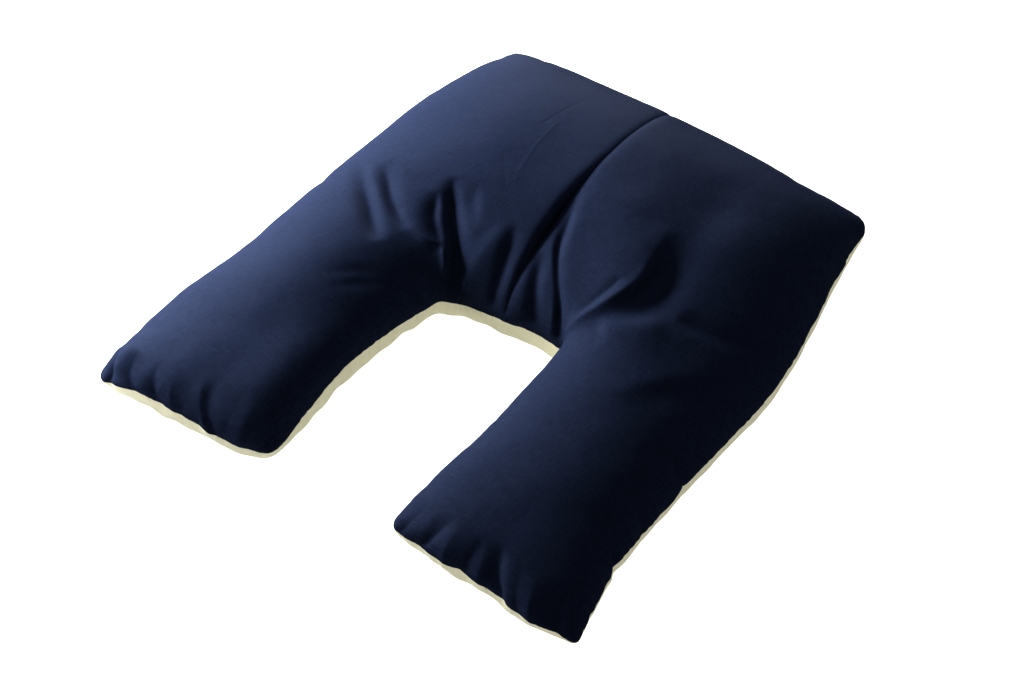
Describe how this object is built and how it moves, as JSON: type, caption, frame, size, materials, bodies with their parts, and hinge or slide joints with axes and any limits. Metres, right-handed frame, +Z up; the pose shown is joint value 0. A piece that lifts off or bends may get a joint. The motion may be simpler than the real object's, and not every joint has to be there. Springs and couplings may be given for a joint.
{
  "type": "memory foam pillow",
  "caption": "U-shaped filled pillow with a navy satin-like face and a cream underside, two arms running forward from a deep crosspiece.",
  "frame": {"origin": "on the surface that the pillow lies on, under the middle of its box", "axes": "+Z up out of the navy face, +Y from the arms' ends to the back edge, +X to the pillow's right as seen from the arms' ends"},
  "size_m": [0.65, 0.7132, 0.1226],
  "materials": {
    "navy_face": "smooth satin-weave cloth with a soft sheen",
    "cream_underside": "smooth plain cotton cloth, matt"
  },
  "bodies": {
    "root": {"face_left": "navy_face", "face_right": "navy_face", "underside_left": "cream_underside", "underside_right": "cream_underside"}
  },
  "joints": []
}
